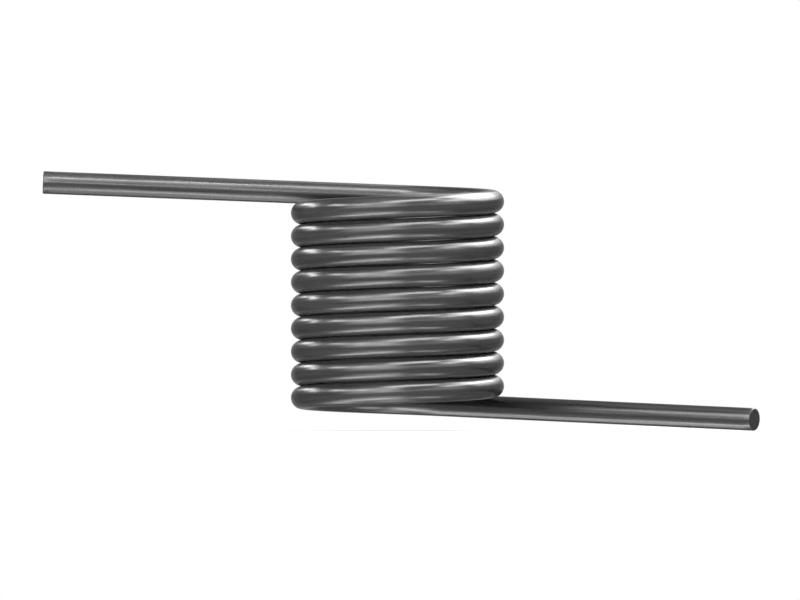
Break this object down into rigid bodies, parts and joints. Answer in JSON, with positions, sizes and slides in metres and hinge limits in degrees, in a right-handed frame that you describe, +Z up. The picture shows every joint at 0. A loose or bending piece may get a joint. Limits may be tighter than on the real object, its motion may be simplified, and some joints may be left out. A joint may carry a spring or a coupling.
{
  "type": "torsion spring",
  "caption": "Right-hand close-wound torsion spring of round wire, with a straight leg running off each end of the coil.",
  "frame": {"origin": "on the axis of the coil, half way up the coil (the arbor_bore mount)", "axes": "+Z up the axis of the coil; the upper leg runs off the back (+Y) of the top turn towards -X, and the lower leg runs towards +X and the front"},
  "size_m": [0.064, 0.019, 0.0232],
  "materials": {
    "spring_wire": "dark drawn spring wire, smooth and lightly oiled"
  },
  "bodies": {
    "root": {"torsion_spring": "spring_wire"}
  },
  "joints": []
}
